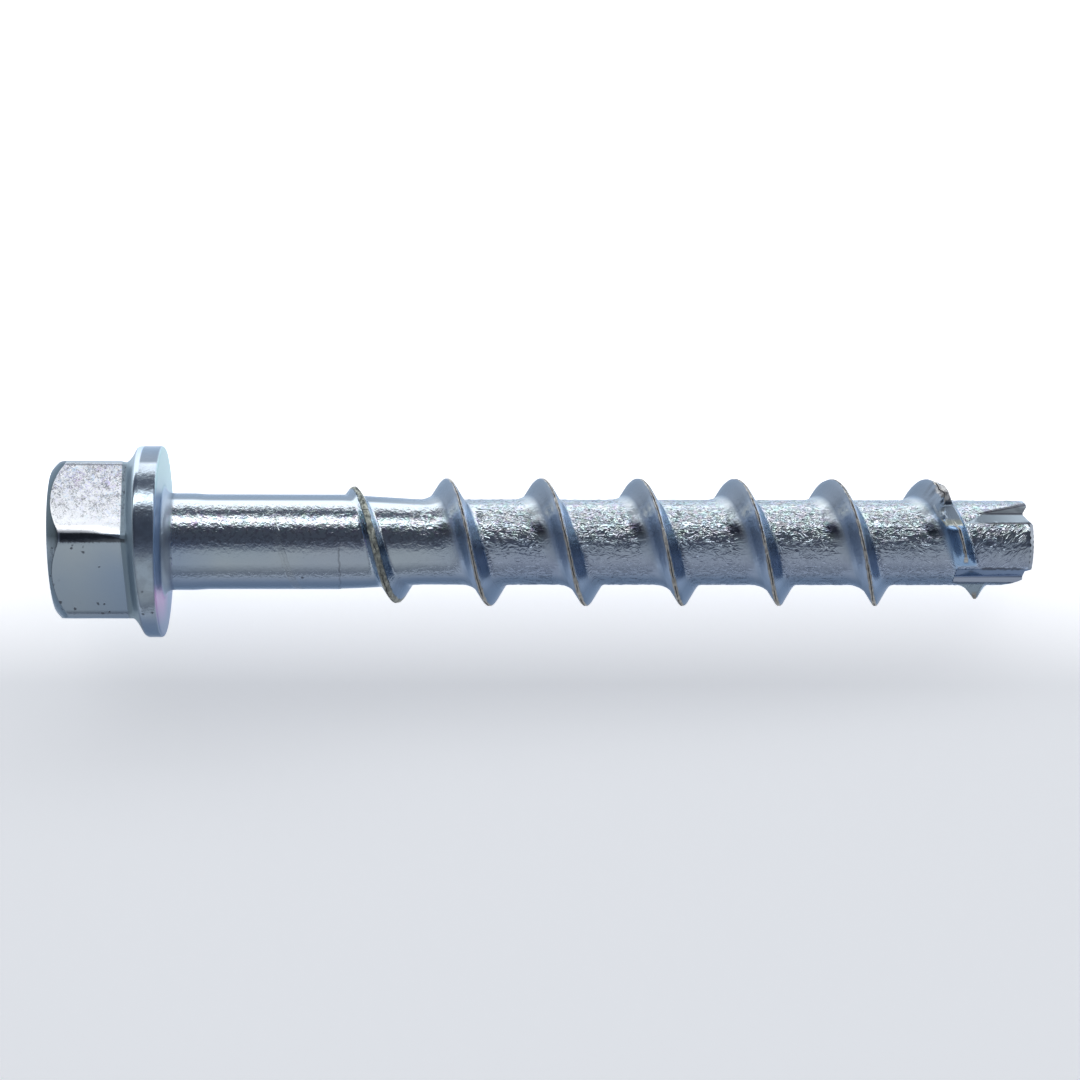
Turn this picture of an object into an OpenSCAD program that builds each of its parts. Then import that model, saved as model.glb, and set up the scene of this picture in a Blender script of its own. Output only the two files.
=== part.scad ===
// Hex flange concrete screw for an 8 mm hole, in one piece of steel.
// It lies as it comes to rest: on the flange's rim and on one crest of the thread.
// The origin is the centre of the bearing face, and the tip lies towards +X.

/* [Head] */
// Width across the flats of the hexagon
across_flats = 12.55; // [12.3:0.05:12.8]
// Rounding of the hexagon's six upright corners
hex_corner_r = 1.3; // [0.6:0.05:1.6]
// Height of the whole head above the bearing face
head_height = 8.75; // [8.4:0.05:9]
// Radius of the plain flat end inside the rounded chamfer
head_end_r = 5.9; // [5.6:0.05:6]
// Length of that chamfer along the axis, at the corners
head_chamfer = 1.35; // [1:0.05:1.5]
// Radius of the chamfer's convex curve
head_dome_r = 2.5; // [2:0.1:4]

/* [Flange] */
// Diameter of the flange
flange_d = 15.65; // [15:0.05:16.4]
// Thickness of its upright rim
flange_rim = 1.35; // [1.1:0.05:1.6]
// Rounding between the rim and the bearing face
flange_face_r = 0.25; // [0.15:0.05:0.4]
// Rounding between the rim and the sloping back
flange_back_r = 0.45; // [0.3:0.05:0.6]
// Steepness of the back at the rim, measured from the bearing face
flange_slope = 30; // [24:1:36]
// Distance of the back's foot, on the hexagon's sides, from the bearing face
flange_foot = 2.45; // [2.3:0.05:2.8]
// Concave rounding of that foot
flange_foot_r = 0.25; // [0.15:0.05:0.4]

/* [Shank] */
// Length from the bearing face to the tip
shank_length = 70.7; // [70:0.1:74]
// Diameter of the short collar under the flange
collar_d = 7.9; // [7.7:0.05:8]
// Length of that collar
collar_length = 2.9; // [2:0.1:4]
// Diameter of the smooth shank
shank_d = 7.75; // [7.6:0.05:7.9]
// Fillet under the flange
root_fillet = 0.4; // [0.3:0.05:0.6]
// Where the shank starts to narrow to the core
narrow_start = 14.5; // [13:0.1:16]
// Where it has become the core
narrow_end = 21; // [19:0.1:22]

/* [Thread] */
// Core diameter
core_d = 6.98; // [6.8:0.02:7.2]
// Outer diameter of the thread
thread_d = 10.5; // [10.2:0.05:10.8]
// Advance of the right-hand thread in one turn
pitch = 7.95; // [7.6:0.05:8.2]
// Distance of the first full crest on the +Y side from the bearing face
first_crest = 22.7; // [22:0.05:24]
// Width of the flat crest
crest_land = 0.25; // [0.2:0.05:0.5]
// Angle of each flank from the cross-section
flank_angle = 29; // [27:0.5:33]
// How far the rolled ridge leans to the tip on the +Y side, and to the head opposite
ridge_lean = 0.12; // [0:0.02:0.2]
// How much closer to the tip the ridge starts than its pitch would put it
start_shift = 0.55; // [0:0.05:0.7]
// How much further on the last crest lies than its pitch would put it
end_shift = 0.35; // [0:0.05:0.5]
// Flat faces in one turn of the ridge
steps_per_turn = 48; // [24:6:60]

/* [Tip] */
// Bevel round the cut end
tip_bevel = 0.35; // [0.2:0.05:0.5]
// Number of saw-tooth flutes
flute_count = 4; // [2:1:5]
// Angle between the first two flutes, which the others divide the rest around
flute_gap = 99; // [72:1:120]
// Length of the flutes, through the last ridge
flute_length = 6.3; // [5:0.1:7]
// Depth of the flutes where they start
flute_depth = 0.3; // [0.2:0.02:0.4]
// Slope of the flutes, which are deepest at the tip
flute_slope = 1; // [0:0.5:2]
// Height of the first flute's floor over the core where it starts
first_flute_rise = 0.13; // [0:0.01:0.2]
// Slope of the first flute
first_flute_slope = 5; // [4:0.5:6]
// Lean of a flute's steep wall from the radius
flute_lean = 30; // [0:5:40]
// Width of the first flute, which stops short of the last ridge's crest
first_flute_w = 2.4; // [2:0.1:4.5]
// Width of the other flutes
flute_w = 4.5; // [2:0.1:4.5]
// Depth of the V notch across the end, beside the first flute
notch_depth = 0.95; // [0.6:0.05:1.2]
// Distance of that notch from the axis
notch_offset = 2.35; // [1.8:0.05:2.4]
// How far the end is cut back on the opposite side
step_depth = 0.5; // [0.4:0.05:0.9]

/* [Hidden] */

steel = "lightsteelblue";
$fn = 96;
arc_steps = 6;

flange_r = flange_d / 2;
core_r = core_d / 2;
ridge_h = (thread_d - core_d) / 2;
hex_r = across_flats / 2;
corner_reach = hex_r / cos(30);

// Angles round the axis run from +Y towards +Z, the way a right-hand thread advances.
// The hexagon's near corner, and the bottom of the first flute, as they lie at rest.
hex_turn = 28;
flute_turn = 60;

// The ridge rises out of the shank over more than a turn, and dies out behind the last crest.
// Each pair is an angle along the helix and the share of the ridge's full height there.
growth = [
    [-490, 0], [-450, 0.24], [-360, 0.62], [-180, 0.87], [0, 0.98], [90, 1],
    [1820, 1], [1900, 0.9], [1980, 0.68], [2060, 0]
];
first_turn = growth[0][0];
last_turn = growth[len(growth) - 1][0];

// The screw stands on the front edge of its rim and on the crest that faces down.
rest_turn = 4 * 360 + 270;
rest_crest = first_crest - ridge_lean + pitch * rest_turn / 360;
rest_tilt = atan((flange_r - thread_d / 2) / (rest_crest + flange_face_r));

// Points of an arc about [x, y], from one angle to another
function arc(x, y, r, from, to, steps = arc_steps) =
    [for (i = [0:steps]) let (a = from + (to - from) * i / steps) [x + r * cos(a), y + r * sin(a)]];

// Outline of a hexagon with rounded corners, one corner at hex_turn
function hexagon_outline() =
    [for (i = [0:5]) let (a = hex_turn + 60 * i, reach = corner_reach - hex_corner_r / cos(30))
        each arc(reach * cos(a), reach * sin(a), hex_corner_r, a - 30, a + 30, 4)];

// Where the chamfer's curve has its centre, from its two ends on the head's outline
chamfer_inner = [head_end_r, -head_height];
chamfer_outer = [corner_reach, -head_height + head_chamfer];
chamfer_span = chamfer_outer - chamfer_inner;
chamfer_middle = (chamfer_outer + chamfer_inner) / 2;
chamfer_inset = sqrt(head_dome_r * head_dome_r - chamfer_span * chamfer_span / 4);
chamfer_centre = chamfer_middle + [-chamfer_span[1], chamfer_span[0]] / norm(chamfer_span) * chamfer_inset;
chamfer_from = atan2(chamfer_inner[1] - chamfer_centre[1], chamfer_inner[0] - chamfer_centre[0]);
chamfer_to = atan2(chamfer_outer[1] - chamfer_centre[1], chamfer_outer[0] - chamfer_centre[0]);

// The hexagon, cut to a rounded chamfer at its end
module hexagon() {
    intersection() {
        translate([0, 0, -head_height])
            linear_extrude(head_height - flange_rim / 2) polygon(hexagon_outline());
        rotate_extrude()
            polygon(concat(
                [[0, -head_height]],
                arc(chamfer_centre[0], chamfer_centre[1], head_dome_r, chamfer_from, chamfer_to),
                [[corner_reach + 1, chamfer_outer[1]], [corner_reach + 1, 0], [0, 0]]
            ));
    }
}

// The flange: a disc with a rounded rim
back_end = [flange_r - flange_back_r * (1 - sin(flange_slope)), -flange_rim - flange_back_r * cos(flange_slope)];

module flange() {
    rotate_extrude()
        polygon(concat(
            [[0, 0]],
            arc(flange_r - flange_face_r, -flange_face_r, flange_face_r, 90, 0),
            arc(flange_r - flange_back_r, -flange_rim, flange_back_r, 0, flange_slope - 90),
            [[0, back_end[1]]]
        ));
}

// The flange's sloping back, which leaves all sides of the hexagon at one height.
// Each layer is [distance from the bearing face, growth over the hexagon].
overlap = 0.03;
foot_layers = [
    [flange_foot + 1.1 * flange_foot_r, -overlap],
    [flange_foot + 0.4 * flange_foot_r, 0.15 * flange_foot_r],
    [flange_foot, 0.45 * flange_foot_r]
];

module layer(i) {
    translate([0, 0, -foot_layers[i][0]])
        linear_extrude(overlap) offset(delta = foot_layers[i][1]) polygon(hexagon_outline());
}

module flange_back() {
    for (i = [0:len(foot_layers) - 2])
        hull() {
            layer(i);
            layer(i + 1);
        }
    hull() {
        layer(len(foot_layers) - 1);
        translate([0, 0, back_end[1] - overlap]) cylinder(r = back_end[0] - overlap, h = 2 * overlap, $fn = 32);
    }
}

// The shank: collar, smooth length, taper and core, up to the bevelled end
module shank() {
    fillet_r = collar_d / 2 + root_fillet;
    rotate_extrude()
        polygon(concat(
            [[0, -flange_rim / 2], [fillet_r, -flange_rim / 2]],
            arc(fillet_r, root_fillet, root_fillet, 270, 180),
            [
                [collar_d / 2, collar_length],
                [shank_d / 2, collar_length + (collar_d - shank_d) / 2],
                [shank_d / 2, narrow_start],
                [core_r, narrow_end],
                [core_r, shank_length - tip_bevel],
                [core_r - tip_bevel, shank_length],
                [0, shank_length]
            ]
        ));
}

// The ridge's section as [distance from its middle, height over the core], head side first:
// a long flared foot, the straight flanks, the crest, and a shorter foot on the tip side.
// Both feet end inside the core.
land = crest_land / 2;
foot_h = 0.3 * ridge_h;
foot_u = land + (ridge_h - foot_h) * tan(flank_angle);
sunk_h = -0.12;
section = [
    [-foot_u - 1.25, sunk_h],
    [-foot_u - 0.8, 0.13],
    [-foot_u - 0.35, 0.31],
    [-foot_u, foot_h],
    [-land, ridge_h],
    [land, ridge_h],
    [foot_u, foot_h],
    [foot_u + 0.27, 0.17],
    [foot_u + 0.6, sunk_h]
];

// Where the crest lies along the axis: a plain helix, with a lean and two uneven ends
shift_in = [-360, 240];
shift_out = [1800, 1980];
function crest_z(a) =
    first_crest + pitch * a / 360 - ridge_lean * (1 - cos(a))
    + start_shift * max(0, (shift_in[1] - a) / (shift_in[1] - shift_in[0]))
    + end_shift * max(0, (a - shift_out[0]) / (shift_out[1] - shift_out[0]));

// A ridge that is lower is also narrower, and its ends dip under the surface
least_share = 0.04;
ridge_dip = 0.12;
function ridge_point(a, p) =
    let (
        s = max(least_share, lookup(a, growth)),
        r = core_r + p[1] * s - ridge_dip * (1 - s),
        u = sign(p[0]) * (land + (abs(p[0]) - land) * (0.3 + 0.7 * s))
    )
    [r * cos(a), r * sin(a), crest_z(a) + u];

module ridge() {
    steps = round((last_turn - first_turn) / 360 * steps_per_turn);
    count = len(section);
    points = [for (i = [0:steps], p = section)
        ridge_point(first_turn + (last_turn - first_turn) * i / steps, p)];
    sides = [for (i = [0:steps - 1], j = [0:count - 1])
        let (k = (j + 1) % count, a = i * count, b = a + count)
        each [[a + j, a + k, b + k], [a + j, b + k, b + j]]];
    start_cap = [for (j = [1:count - 2]) [0, j + 1, j]];
    last = steps * count;
    end_cap = [for (j = [1:count - 2]) [last, last + j, last + j + 1]];
    polyhedron(points, concat(sides, start_cap, end_cap));
}

// One saw-tooth flute through the last ridge: a steep wall, and a wall along the tangent
module flute(width, start_r, slope) {
    reach = thread_d;
    overrun = 1;
    wedge = [[0, 0], reach * [-sin(flute_lean), cos(flute_lean)], [width + overrun, reach], [width, 0]];
    translate([0, start_r, shank_length - flute_length])
        rotate([slope, 0, 0])
            linear_extrude(flute_length + overrun) polygon(wedge);
}

// What is missing of the end, drawn as [distance from the axis, distance before the tip]:
// a V notch on the +Y side, and a step with a worn edge on the -Y side
notch = [
    [notch_offset, notch_depth],
    [notch_offset + 2 * notch_depth, -0.25 * notch_depth],
    [notch_offset - 1.2 * notch_depth, -0.3 * notch_depth]
];
step_x = 0.64 * core_r;
step = [
    [-step_x, -1],
    [-step_x - 0.08, step_depth],
    [-0.88 * core_r, step_depth],
    [-0.95 * core_r, step_depth + 0.75],
    [-core_r - 0.05, step_depth + 1.75],
    [-core_d, step_depth + 1.75],
    [-core_d, -1]
];
module end_cuts() {
    translate([0, core_d, shank_length])
        rotate([90, 0, 0])
            linear_extrude(2 * core_d)
                for (outline = [notch, step])
                    polygon([for (p = outline) [p[0], -p[1]]]);
}

function flute_angle(i) =
    flute_turn + (i == 0 ? 0 : flute_gap + (360 - flute_gap) / (flute_count - 1) * (i - 1));

module concrete_screw() {
    color(steel)
        rotate([0, rest_tilt, 0])
            rotate([90, 0, 90])
                difference() {
                    union() {
                        hexagon();
                        flange();
                        flange_back();
                        shank();
                        ridge();
                    }
                    for (i = [0:flute_count - 1])
                        rotate([0, 0, flute_angle(i) - 90])
                            if (i == 0) flute(first_flute_w, core_r + first_flute_rise, first_flute_slope);
                            else flute(flute_w, core_r - flute_depth, flute_slope);
                    end_cuts();
                }
}

concrete_screw();
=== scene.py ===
"""A zinc-plated concrete screw with a hexagon flange head, lying on a pale floor."""
import math

import bmesh
import bpy
import numpy as np
from mathutils import Matrix, Vector, noise


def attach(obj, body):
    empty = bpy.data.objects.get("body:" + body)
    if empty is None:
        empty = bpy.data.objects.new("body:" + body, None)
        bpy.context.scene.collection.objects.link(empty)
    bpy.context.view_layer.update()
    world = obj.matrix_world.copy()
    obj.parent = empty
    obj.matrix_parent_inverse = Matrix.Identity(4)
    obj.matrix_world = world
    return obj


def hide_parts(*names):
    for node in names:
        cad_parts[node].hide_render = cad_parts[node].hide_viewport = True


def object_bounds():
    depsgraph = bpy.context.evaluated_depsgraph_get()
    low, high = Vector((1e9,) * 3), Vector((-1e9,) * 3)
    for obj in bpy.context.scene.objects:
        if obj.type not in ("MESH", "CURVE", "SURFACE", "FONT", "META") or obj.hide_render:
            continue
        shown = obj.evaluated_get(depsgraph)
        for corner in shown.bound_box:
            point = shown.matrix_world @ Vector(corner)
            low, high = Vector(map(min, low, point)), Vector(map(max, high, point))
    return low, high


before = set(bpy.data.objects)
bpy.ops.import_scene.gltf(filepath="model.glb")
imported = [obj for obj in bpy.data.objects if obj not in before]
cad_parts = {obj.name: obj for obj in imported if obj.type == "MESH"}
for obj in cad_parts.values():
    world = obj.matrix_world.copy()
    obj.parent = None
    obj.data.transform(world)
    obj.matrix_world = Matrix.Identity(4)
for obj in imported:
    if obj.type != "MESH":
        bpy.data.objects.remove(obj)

CAD_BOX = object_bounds()

# ---------------------------------------------------------------- dimensions, in mm
# The screw's own frame: z runs along the axis from the bearing face to the tip, x is up in
# the picture, y points at the camera. Angles run from x towards y.
MM = 0.001
ACROSS_FLATS = 12.55
CORNER_R = (0.8, 1.9, 1.3, 1.3, 1.3, 1.3)
SHARP_R = 0.5
HEX_TURN = 28
HEAD_HEIGHT = 8.75
END_R = 5.9
CHAMFER = 1.65
DOME_R = 5.0
FLANGE_R = 15.61 / 2
RIM = 1.35
FACE_R = 0.25
BACK_R = 0.45
SLOPE = math.radians(30)
FOOT = 2.3
FOOT_R = 0.12
COLLAR_R = 7.9 / 2
COLLAR_LENGTH = 2.9
SHANK_R = 7.75 / 2
FILLET = 0.7
NARROW = (14.5, 21.0)
CORE_R = 6.98 / 2
THREAD_R = 10.5 / 2
PITCH = 7.95
FIRST_CREST = 22.7
LENGTH = 70.69
TIP_BEVEL = 0.35
BEVEL_EDGE = LENGTH - TIP_BEVEL

# The grid of the thread: rows in one turn, columns across one pitch, first and last turn
ROWS = 180
COLUMNS = 56
TURNS = (-2, 6)
THREAD_START = 12.0

REST_TILT = math.radians(2.4334)


# ---------------------------------------------------------------- node helpers
class Sock:
    """A node socket that builds Math nodes when it is used in arithmetic."""

    def __init__(self, tree, socket):
        self.tree, self.socket = tree, socket

    def math(self, operation, *others, clamp=False):
        node = self.tree.nodes.new("ShaderNodeMath")
        node.operation, node.use_clamp = operation, clamp
        for slot, value in zip(node.inputs, (self, *others)):
            plug(self.tree, slot, value)
        return Sock(self.tree, node.outputs[0])

    def __add__(self, other): return self.math("ADD", other)
    def __radd__(self, other): return self.math("ADD", other)
    def __sub__(self, other): return self.math("SUBTRACT", other)
    def __mul__(self, other): return self.math("MULTIPLY", other)
    def __rmul__(self, other): return self.math("MULTIPLY", other)
    def __truediv__(self, other): return self.math("DIVIDE", other)
    def __pow__(self, other): return self.math("POWER", other)
    def __neg__(self): return self.math("MULTIPLY", -1)
    def __abs__(self): return self.math("ABSOLUTE")

    def __rsub__(self, other):
        return self.math("MULTIPLY", -1).math("ADD", other)

    def __rtruediv__(self, other):
        return self.math("POWER", -1).math("MULTIPLY", other)


def plug(tree, slot, value):
    """Links a socket, or sets a value."""
    if isinstance(value, Sock):
        tree.links.new(value.socket, slot)
    else:
        slot.default_value = value


def make(tree, kind, settings=(), values=(), out=0):
    """A node of any other type; values are keyed by the input's name or number."""
    node = tree.nodes.new(kind)
    for name, value in dict(settings).items():
        setattr(node, name, value)
    for name, value in dict(values).items():
        plug(tree, node.inputs[name], value)
    return Sock(tree, node.outputs[out])


def curve(tree, value, points, smooth=False):
    """A Float Curve through points given in the value's own units."""
    (x0, _), (x1, _) = points[0], points[-1]
    top = max(y for _, y in points)
    found = make(tree, "ShaderNodeFloatCurve", (), {"Value": (value - x0) / (x1 - x0)})
    mapping = found.socket.node.mapping
    line = mapping.curves[0]
    while len(line.points) < len(points):
        line.points.new(0.5, 0.5)
    for point, (x, y) in zip(line.points, points):
        point.location = ((x - x0) / (x1 - x0), y / top)
        point.handle_type = "AUTO_CLAMPED" if smooth else "VECTOR"
    mapping.update()
    return found * top


# ---------------------------------------------------------------- the threaded length
# The ridge's section: distance from its crest, head side first, and height over the core
SECTION = [(-2.2, 0), (-1.95, 0.03), (-1.6, 0.12), (-1.2, 0.28), (-0.83, 0.56), (-0.17, 1.7),
           (-0.09, 1.76), (0.09, 1.76), (0.17, 1.7), (0.8, 0.54), (1.0, 0.25), (1.2, 0.08),
           (1.45, 0)]
# The share of its full height at an angle along the helix
GROWTH = [(-490, 0), (-450, 0.24), (-360, 0.62), (-180, 0.87), (0, 0.98), (90, 1),
          (1820, 1), (1900, 0.9), (1980, 0.68), (2060, 0)]


def thread_tree(material):
    """A ribbon one pitch wide that follows the helix, with the ridge along its middle."""
    tree = bpy.data.node_groups.new("rolled_thread", "GeometryNodeTree")
    inputs = {
        "Pitch": PITCH, "Core radius": CORE_R, "Shank radius": SHANK_R,
        "First crest": FIRST_CREST, "Lean": 0.12, "Start shift": 0.55, "End shift": 0.35,
        "Ridge dip": 0.12, "Crest density": 0.5, "Hammering": 0.07, "Lap depth": 0.1, "Seed": 4.0,
    }
    for name, value in inputs.items():
        socket = tree.interface.new_socket(name, in_out="INPUT", socket_type="NodeSocketFloat")
        socket.default_value = value
    tree.interface.new_socket("Material", in_out="INPUT", socket_type="NodeSocketMaterial")
    tree.interface.new_socket("Geometry", in_out="OUTPUT", socket_type="NodeSocketGeometry")
    entry = tree.nodes.new("NodeGroupInput")
    given = {s.name: Sock(tree, s) for s in entry.outputs}
    pitch, core = given["Pitch"], given["Core radius"]

    rows = (TURNS[1] - TURNS[0] + 1) * ROWS
    grid = make(tree, "GeometryNodeMeshGrid", (), {"Vertices X": rows, "Vertices Y": COLUMNS + 1})
    index = make(tree, "GeometryNodeInputIndex")
    row = (index / (COLUMNS + 1)).math("FLOOR")
    across = (index - row * (COLUMNS + 1)) / COLUMNS - 0.5
    turn = row / ROWS + TURNS[0]
    angle = turn * 360
    radians = turn * (2 * math.pi)

    # Columns stand closer on the ridge; the ridge leans, and its two ends are uneven
    near_crest = (-1 * (across / 0.045) * (across / 0.045)).math("EXPONENT")
    spread = across * (1 - (1 - given["Crest density"]) * near_crest)
    shift = (
        given["Lean"] * (radians.math("COSINE") - 1)
        + given["Start shift"] * ((240 - angle) / 600).math("MAXIMUM", 0)
        + given["End shift"] * ((angle - 1800) / 180).math("MAXIMUM", 0))
    hold = 1 - 4 * across * across
    z = given["First crest"] + pitch * (turn + spread) + shift * hold * hold
    off = z - (given["First crest"] + pitch * turn + shift)

    # The ridge's height, which is narrower where it is lower
    share = curve(tree, angle, GROWTH).math("MAXIMUM", 0.03)
    width = 0.3 + 0.7 * share
    height = curve(tree, off / width, SECTION)
    ridge = core + height * share - given["Ridge dip"] * (1 - share)
    taper = ((z - NARROW[0]) / (NARROW[1] - NARROW[0])).math("MULTIPLY", 1, clamp=True)
    plain = given["Shank radius"] + (core - given["Shank radius"]) * taper
    radius = ridge.math("SMOOTH_MAX", plain, 0.06)

    # Worm-like hammering between the ridges, and a lapped, uneven crest on top of them
    direction = (radians.math("COSINE"), radians.math("SINE"))
    spot = make(tree, "ShaderNodeCombineXYZ", (),
                {0: direction[0] * core, 1: direction[1] * core, 2: z})
    worms = make(tree, "ShaderNodeTexNoise", {"noise_dimensions": "4D"},
                 {"Vector": spot, "W": given["Seed"], "Scale": 1.9, "Detail": 2.0,
                  "Distortion": 0.6})
    between = (1 - height * 6).math("MAXIMUM", 0) * \
        ((z - 18.5) / 9).math("MULTIPLY", 1, clamp=True)
    radius = radius + ((worms - 0.5).math("ABSOLUTE") * 4 - 0.4) * between * given["Hammering"]
    waves = make(tree, "ShaderNodeTexNoise", {"noise_dimensions": "1D"},
                 {"W": angle * 0.04 + given["Seed"], "Scale": 1.0, "Detail": 3.0})
    drift = make(tree, "ShaderNodeTexNoise", {"noise_dimensions": "1D"},
                 {"W": angle * 0.013 + given["Seed"], "Scale": 1.0, "Detail": 1.0})
    groove = (off - (drift - 0.5) * 0.25) / 0.07
    lap = (1 - groove * groove).math("MAXIMUM", 0) * share * given["Lap depth"]
    radius = radius - lap * ((waves - 0.35) * 4).math("MULTIPLY", 1, clamp=True)

    place = make(tree, "ShaderNodeCombineXYZ", (),
                 {0: direction[0] * radius, 1: direction[1] * radius, 2: z})
    moved = make(tree, "GeometryNodeSetPosition", (), {"Geometry": grid, "Position": place})
    real = make(tree, "GeometryNodeRealizeInstances", (), {"Geometry": moved})
    painted = make(tree, "GeometryNodeSetMaterial", (),
                   {"Geometry": real, "Material": given["Material"]})
    exit_node = tree.nodes.new("NodeGroupOutput")
    plug(tree, exit_node.inputs[0], painted)
    return tree


def thread_grid(material):
    """The ribbon as radius and z, by row round the screw and by column along it."""
    carrier = bpy.data.objects.new("thread_ribbon", bpy.data.meshes.new("thread_ribbon"))
    bpy.context.scene.collection.objects.link(carrier)
    modifier = carrier.modifiers.new("rolled_thread", "NODES")
    tree = thread_tree(material)
    modifier.node_group = tree
    for item in tree.interface.items_tree:
        if item.in_out == "INPUT":
            modifier[item.identifier] = material if item.name == "Material" else item.default_value
    graph = bpy.context.evaluated_depsgraph_get()
    mesh = bpy.data.meshes.new_from_object(carrier.evaluated_get(graph))
    points = np.empty(len(mesh.vertices) * 3)
    mesh.vertices.foreach_get("co", points)
    bpy.data.objects.remove(carrier)
    bpy.data.meshes.remove(mesh)

    turns = TURNS[1] - TURNS[0] + 1
    points = points.reshape(turns, ROWS, COLUMNS + 1, 3)[:, :, :COLUMNS]
    points = points.transpose(1, 0, 2, 3).reshape(ROWS, turns * COLUMNS, 3)
    return np.hypot(points[..., 0], points[..., 1]), points[..., 2]


# ---------------------------------------------------------------- the tip
def rim_height(x):
    """How far the worn end stands from its full length: a V notch, and a step opposite."""
    line = [(-3.54, -2.25), (-3.32, -1.25), (-3.07, -0.5), (-2.31, -0.5), (-2.23, 0),
            (1.47, 0), (1.8, -0.38), (2.3, -0.76), (2.45, -0.72), (2.8, -0.36), (3.49, -0.12)]
    return np.interp(x, [p[0] for p in line], [p[1] for p in line])


def line_reach(angle, start, end):
    """Distance from the axis, along each angle, to the line through two polar points."""
    (r0, a0), (r1, a1) = start, end
    p = np.array([r0 * np.cos(a0), r0 * np.sin(a0)])
    d = np.array([r1 * np.cos(a1), r1 * np.sin(a1)]) - p
    below = np.cos(angle) * d[1] - np.sin(angle) * d[0]
    reach = (p[0] * d[1] - p[1] * d[0]) / np.where(np.abs(below) < 1e-6, 1e-6, below)
    return np.where(reach > 0, reach, 99.0)


def wall_reach(delta, depth_r, lean):
    """Distance along each angle to a wall that leans from the radius, up from the crease."""
    span = np.sin(lean - delta)
    reach = depth_r * math.sin(lean) / np.where(span > 0.02, span, 0.02)
    return np.where(delta < lean - 0.02, reach, 99.0)


GROOVE_START = 66.25


def groove(z):
    """The first flute's upper edge, valley and lower edge as (radius, angle) at a height."""
    t = min(1, max(0, (z - GROOVE_START) / (LENGTH - GROOVE_START)))
    high = math.radians(46.5 - 22 * t ** 0.9)
    valley = (2.36, 2.50 - 0.24 * t)
    return ((CORE_R, high), (math.hypot(*valley), math.atan2(valley[1], valley[0])),
            (CORE_R, math.radians(63)))


def follow_groove(angle, z):
    """Turns the rows near the tip until three of them lie on the groove's edges."""
    turned = angle.copy()
    for k in range(10, 33):
        for j in np.nonzero(z[k] > GROOVE_START)[0]:
            edges = [point[1] for point in groove(z[k, j])]
            turned[k, j] = np.interp(angle[k, j], np.radians((20, 44, 50, 64)),
                                     (math.radians(20), *edges))
    return turned


def soft_min(one, two, size):
    """The lesser of two values, rounded where they are less than size apart."""
    mixed = np.clip(size - np.abs(one - two), 0, None) / size
    return np.minimum(one, two) - mixed * mixed * size / 4


def cut_flutes(angle, radius, z):
    """Lowers the radius to the walls of the four saw-tooth flutes."""
    lean = math.radians(52)
    for crease, low_r, slope in ((155, 3.1, 1.0), (245, 3.1, 1.0), (335, 3.1, 1.0)):
        delta = (angle - math.radians(crease) + math.pi) % (2 * math.pi) - math.pi
        floor_r = low_r - (z - (LENGTH - 6.3)) * math.tan(math.radians(slope))
        limit = np.maximum(floor_r / np.maximum(np.cos(delta), 0.05), wall_reach(delta, floor_r, lean))
        inside = (z > LENGTH - 6.3) & (np.abs(delta) < math.radians(80))
        radius = np.where(inside, np.minimum(radius, limit), radius)
    # The first one: a flat on the last ridge, then a V groove that opens towards the tip
    turned = np.degrees(angle)
    delta = angle - math.radians(71)
    chord = line_reach(angle, (4.22, math.radians(71)), (4.05, math.radians(42)))
    limit = np.maximum(chord, wall_reach(delta, 4.22, math.radians(32)))
    inside = (z > LENGTH - 7.4) & (turned > 39) & (turned < 150)
    radius = np.where(inside, soft_min(radius, limit, 0.12), radius)
    # The groove: one facet from its upper edge to the valley, one from there to its lower edge
    for k, j in zip(*np.nonzero((z > GROOVE_START) & (angle > 0.6) & (angle < 1.13))):
        high, valley, low = groove(z[k, j])
        a = angle[k, j]
        pair = (high, valley) if a < valley[1] else (valley, low)
        if high[1] < a < low[1]:
            radius[k, j] = min(radius[k, j], float(line_reach(a, *pair)))
    return radius


def tear_crest(angle, radius, z):
    """The last crest is torn towards the tip just before the first flute."""
    near = np.clip(1 - np.abs(np.degrees(angle) - 29) / 13, 0, 1) ** 0.5
    near *= (z > 60.5) & (z < 66) & (np.degrees(angle) < 60)
    lift = np.clip((radius - 3.7) / 1.5, 0, 1)
    wobble = np.vectorize(lambda a, h: noise.noise(Vector((a * 9, h * 2.2, 3.1))))(angle, z)
    z = z + near * lift * (0.3 + 0.3 * wobble)
    radius = radius + near * lift * (0.1 * wobble - 0.02)
    return radius, z


# ---------------------------------------------------------------- the head
def corner_radius(angle):
    """The rounding of the corner nearest to each angle."""
    nearest = np.round((angle - math.radians(HEX_TURN)) / (math.pi / 3)).astype(int) % 6
    return np.array(CORNER_R)[nearest]


def hexagon_reach(angle, r=None):
    """Distance from the axis to the hexagon with rounded corners."""
    from_corner = (angle - math.radians(HEX_TURN) + math.pi / 6) % (math.pi / 3) - math.pi / 6
    half = ACROSS_FLATS / 2
    r = corner_radius(angle) if r is None else np.full_like(angle, r)
    flat = half / np.cos(math.pi / 6 - np.abs(from_corner))
    centre = (half - r) / math.cos(math.pi / 6)
    gap = r ** 2 - (centre * np.sin(from_corner)) ** 2
    corner = centre * np.cos(from_corner) + np.sqrt(np.maximum(gap, 0))
    ends = np.arctan2(r / 2, centre + r * math.cos(math.pi / 6))
    return np.where(np.abs(from_corner) < ends, corner, flat)


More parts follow.
